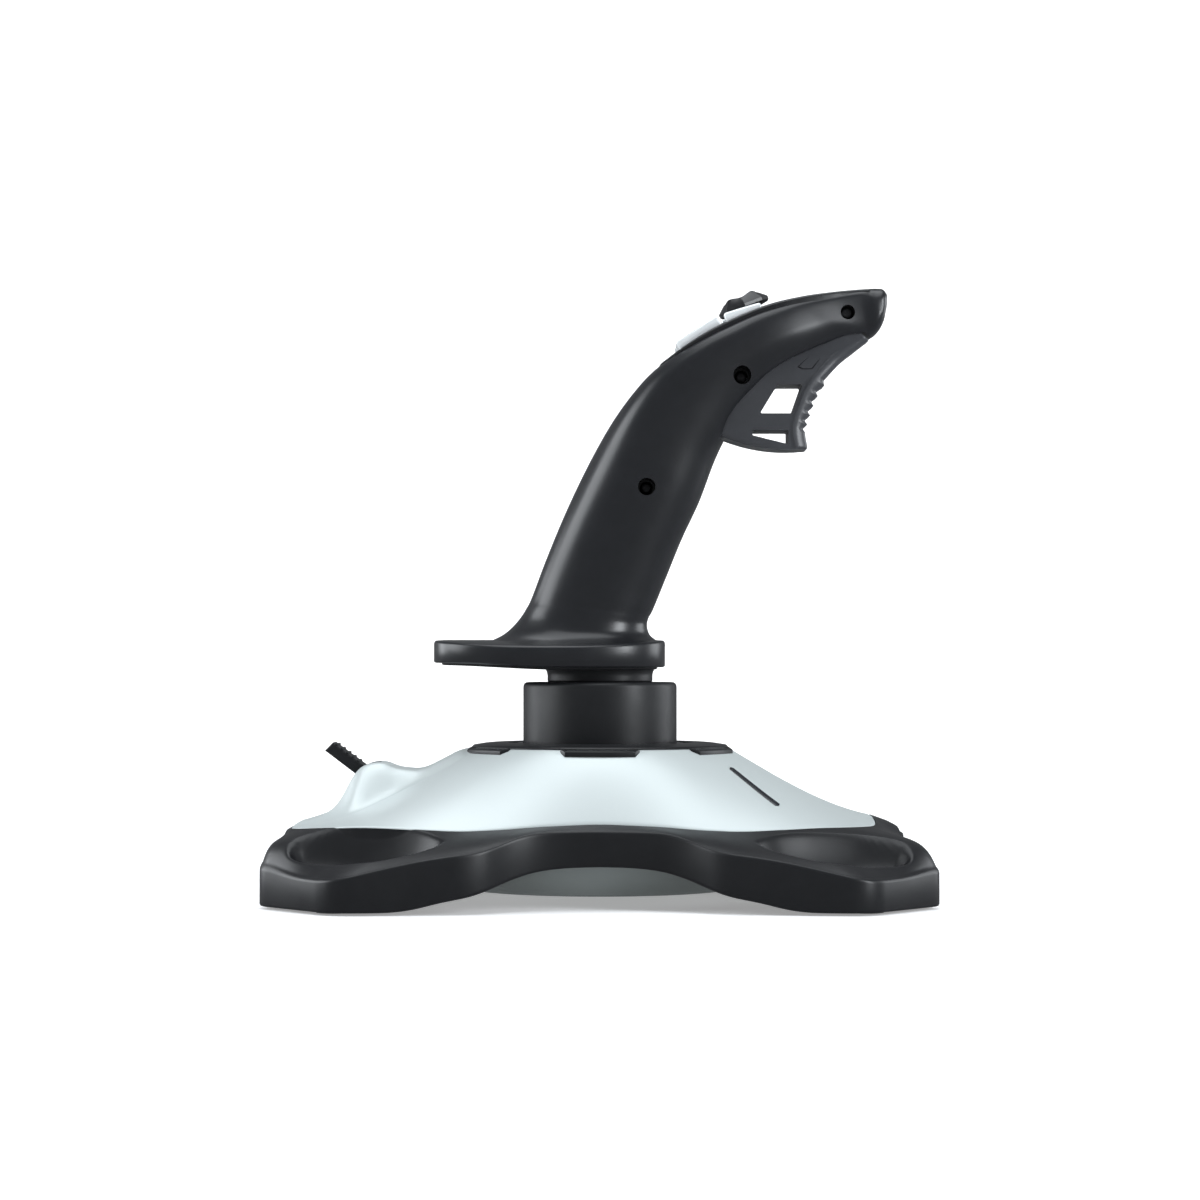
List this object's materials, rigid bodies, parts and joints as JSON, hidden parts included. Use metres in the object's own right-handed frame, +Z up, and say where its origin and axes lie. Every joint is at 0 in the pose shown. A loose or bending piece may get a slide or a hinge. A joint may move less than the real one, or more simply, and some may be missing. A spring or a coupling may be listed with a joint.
{
  "type": "flight joystick",
  "caption": "Twist-handle flight joystick on a lobed desk base with a domed cover, throttle lever, trigger, hat switch and push buttons.",
  "frame": {"origin": "middle of the base on the table", "axes": "+Z up, +Y forward and away from the user along the long side of the base, +X to the user's right"},
  "size_m": [0.188, 0.2499, 0.2343],
  "materials": {
    "silver_shell": "satin metallic silver paint",
    "pan_shell": "satin silver-grey",
    "black_gloss": "semi-gloss moulded",
    "black_matte": "fine texture",
    "button_silver": "glossy silver paint",
    "dark_grey": "fine texture",
    "natural_plastic": "natural acetal",
    "rubber": "matte",
    "steel": "zinc plated",
    "ballast": "rough",
    "board": "green solder mask",
    "component_black": "moulded"
  },
  "bodies": {
    "base": {"base_top_cover": "silver_shell", "base_frame": "black_gloss", "bottom_cover": "black_matte", "base_pan": "pan_shell", "bezel_ring": "black_gloss", "cable_grommet": "rubber", "badge_strip": "component_black", "rubber_foot_front_right": "rubber", "rubber_foot_front_left": "rubber", "rubber_foot_rear_right": "rubber", "rubber_foot_rear_left": "rubber", "case_screw_front_right": "steel", "case_screw_front_left": "steel", "case_screw_rear_right": "steel", "case_screw_rear_left": "steel", "ballast_plate": "ballast", "gimbal_tower": "dark_grey", "tilt_sensor_board": "board", "main_board": "board", "base_button_board": "board", "throttle_pot": "component_black"},
    "throttle": {"throttle_lever": "dark_grey"},
    "base_button_7": {"base_button_7": "dark_grey"},
    "base_button_8": {"base_button_8": "dark_grey"},
    "base_button_9": {"base_button_9": "dark_grey"},
    "base_button_10": {"base_button_10": "dark_grey"},
    "base_button_11": {"base_button_11": "dark_grey"},
    "base_button_12": {"base_button_12": "dark_grey"},
    "gimbal_ring": {"gimbal_ring": "natural_plastic"},
    "stick": {"gimbal_core": "natural_plastic", "tilt_emitter": "component_black", "stick_shaft": "steel", "centring_plate": "natural_plastic", "centring_spring": "steel", "collar_cup": "black_matte"},
    "handle": {"grip_shell_right": "black_gloss", "grip_shell_left": "black_gloss", "hand_rest_cover": "black_matte", "twist_neck": "black_matte", "twist_spring": "steel", "twist_pot": "component_black", "deck_cover": "black_gloss", "grip_screw_1": "steel", "grip_screw_2": "steel", "grip_screw_3": "steel", "handle_board": "board", "trigger_switch": "component_black", "trigger_pin": "steel"},
    "trigger": {"trigger": "black_matte"},
    "hat_cross": {"hat_cross": "component_black"},
    "hat": {"hat_cap": "black_gloss"},
    "top_button_3": {"top_button_3": "button_silver"},
    "top_button_4": {"top_button_4": "button_silver"},
    "top_button_5": {"top_button_5": "button_silver"},
    "top_button_6": {"top_button_6": "button_silver"},
    "thumb_button": {"thumb_button_2": "button_silver"}
  },
  "joints": [
    {"name": "throttle", "type": "hinge", "parent": "base", "child": "throttle", "pos_m": [0, -0.08, 0.0408], "axis": [1, 0, 0], "range_deg": [-22, 22]},
    {"name": "base_button_7_press", "type": "slide", "parent": "base", "child": "base_button_7", "axis": [0.7894, 0.1544, -0.5941], "range_m": [0, 0.0012], "stiffness_N_per_m": 300},
    {"name": "base_button_8_press", "type": "slide", "parent": "base", "child": "base_button_8", "axis": [0.8636, 0.0137, -0.504], "range_m": [0, 0.0012], "stiffness_N_per_m": 300},
    {"name": "base_button_9_press", "type": "slide", "parent": "base", "child": "base_button_9", "axis": [0.7945, -0.1356, -0.592], "range_m": [0, 0.0012], "stiffness_N_per_m": 300},
    {"name": "base_button_10_press", "type": "slide", "parent": "base", "child": "base_button_10", "axis": [0.8385, 0.0556, -0.542], "range_m": [0, 0.0012], "stiffness_N_per_m": 300},
    {"name": "base_button_11_press", "type": "slide", "parent": "base", "child": "base_button_11", "axis": [0.8946, 0.01, -0.4468], "range_m": [0, 0.0012], "stiffness_N_per_m": 300},
    {"name": "base_button_12_press", "type": "slide", "parent": "base", "child": "base_button_12", "axis": [0.8401, -0.0475, -0.5404], "range_m": [0, 0.0012], "stiffness_N_per_m": 300},
    {"name": "stick_pitch", "type": "hinge", "parent": "base", "child": "gimbal_ring", "pos_m": [0, 0, 0.052], "axis": [1, 0, 0], "range_deg": [-14, 14], "stiffness_Nm_per_rad": 3},
    {"name": "stick_roll", "type": "hinge", "parent": "gimbal_ring", "child": "stick", "pos_m": [0, 0, 0.052], "axis": [0, 1, 0], "range_deg": [-14, 14], "stiffness_Nm_per_rad": 3},
    {"name": "handle_twist", "type": "hinge", "parent": "stick", "child": "handle", "pos_m": [0, 0, 0.09], "axis": [0, 0, 1], "range_deg": [-20, 20], "stiffness_Nm_per_rad": 0.3},
    {"name": "trigger_pull", "type": "hinge", "parent": "handle", "child": "trigger", "pos_m": [0, 0.095, 0.2172], "axis": [-1, 0, 0], "range_deg": [0, 3.2], "stiffness_Nm_per_rad": 0.3, "springref_deg": -8.59},
    {"name": "hat_pitch", "type": "hinge", "parent": "handle", "child": "hat_cross", "pos_m": [0, 0.0582, 0.2196], "axis": [1, 0, 0], "range_deg": [-8, 8], "stiffness_Nm_per_rad": 0.05},
    {"name": "hat_roll", "type": "hinge", "parent": "hat_cross", "child": "hat", "pos_m": [0, 0.0582, 0.2196], "axis": [0, 0.9237, 0.3831], "range_deg": [-8, 8], "stiffness_Nm_per_rad": 0.05},
    {"name": "top_button_3_press", "type": "slide", "parent": "handle", "child": "top_button_3", "axis": [0, 0.4738, -0.8806], "range_m": [0, 0.001], "stiffness_N_per_m": 300},
    {"name": "top_button_4_press", "type": "slide", "parent": "handle", "child": "top_button_4", "axis": [0, 0.4738, -0.8806], "range_m": [0, 0.001], "stiffness_N_per_m": 300},
    {"name": "top_button_5_press", "type": "slide", "parent": "handle", "child": "top_button_5", "axis": [0, 0.3087, -0.9512], "range_m": [0, 0.001], "stiffness_N_per_m": 300},
    {"name": "top_button_6_press", "type": "slide", "parent": "handle", "child": "top_button_6", "axis": [0, 0.3087, -0.9512], "range_m": [0, 0.001], "stiffness_N_per_m": 300},
    {"name": "thumb_button_press", "type": "slide", "parent": "handle", "child": "thumb_button", "axis": [1, 0, 0], "range_m": [0, 0.001], "stiffness_N_per_m": 300}
  ]
}
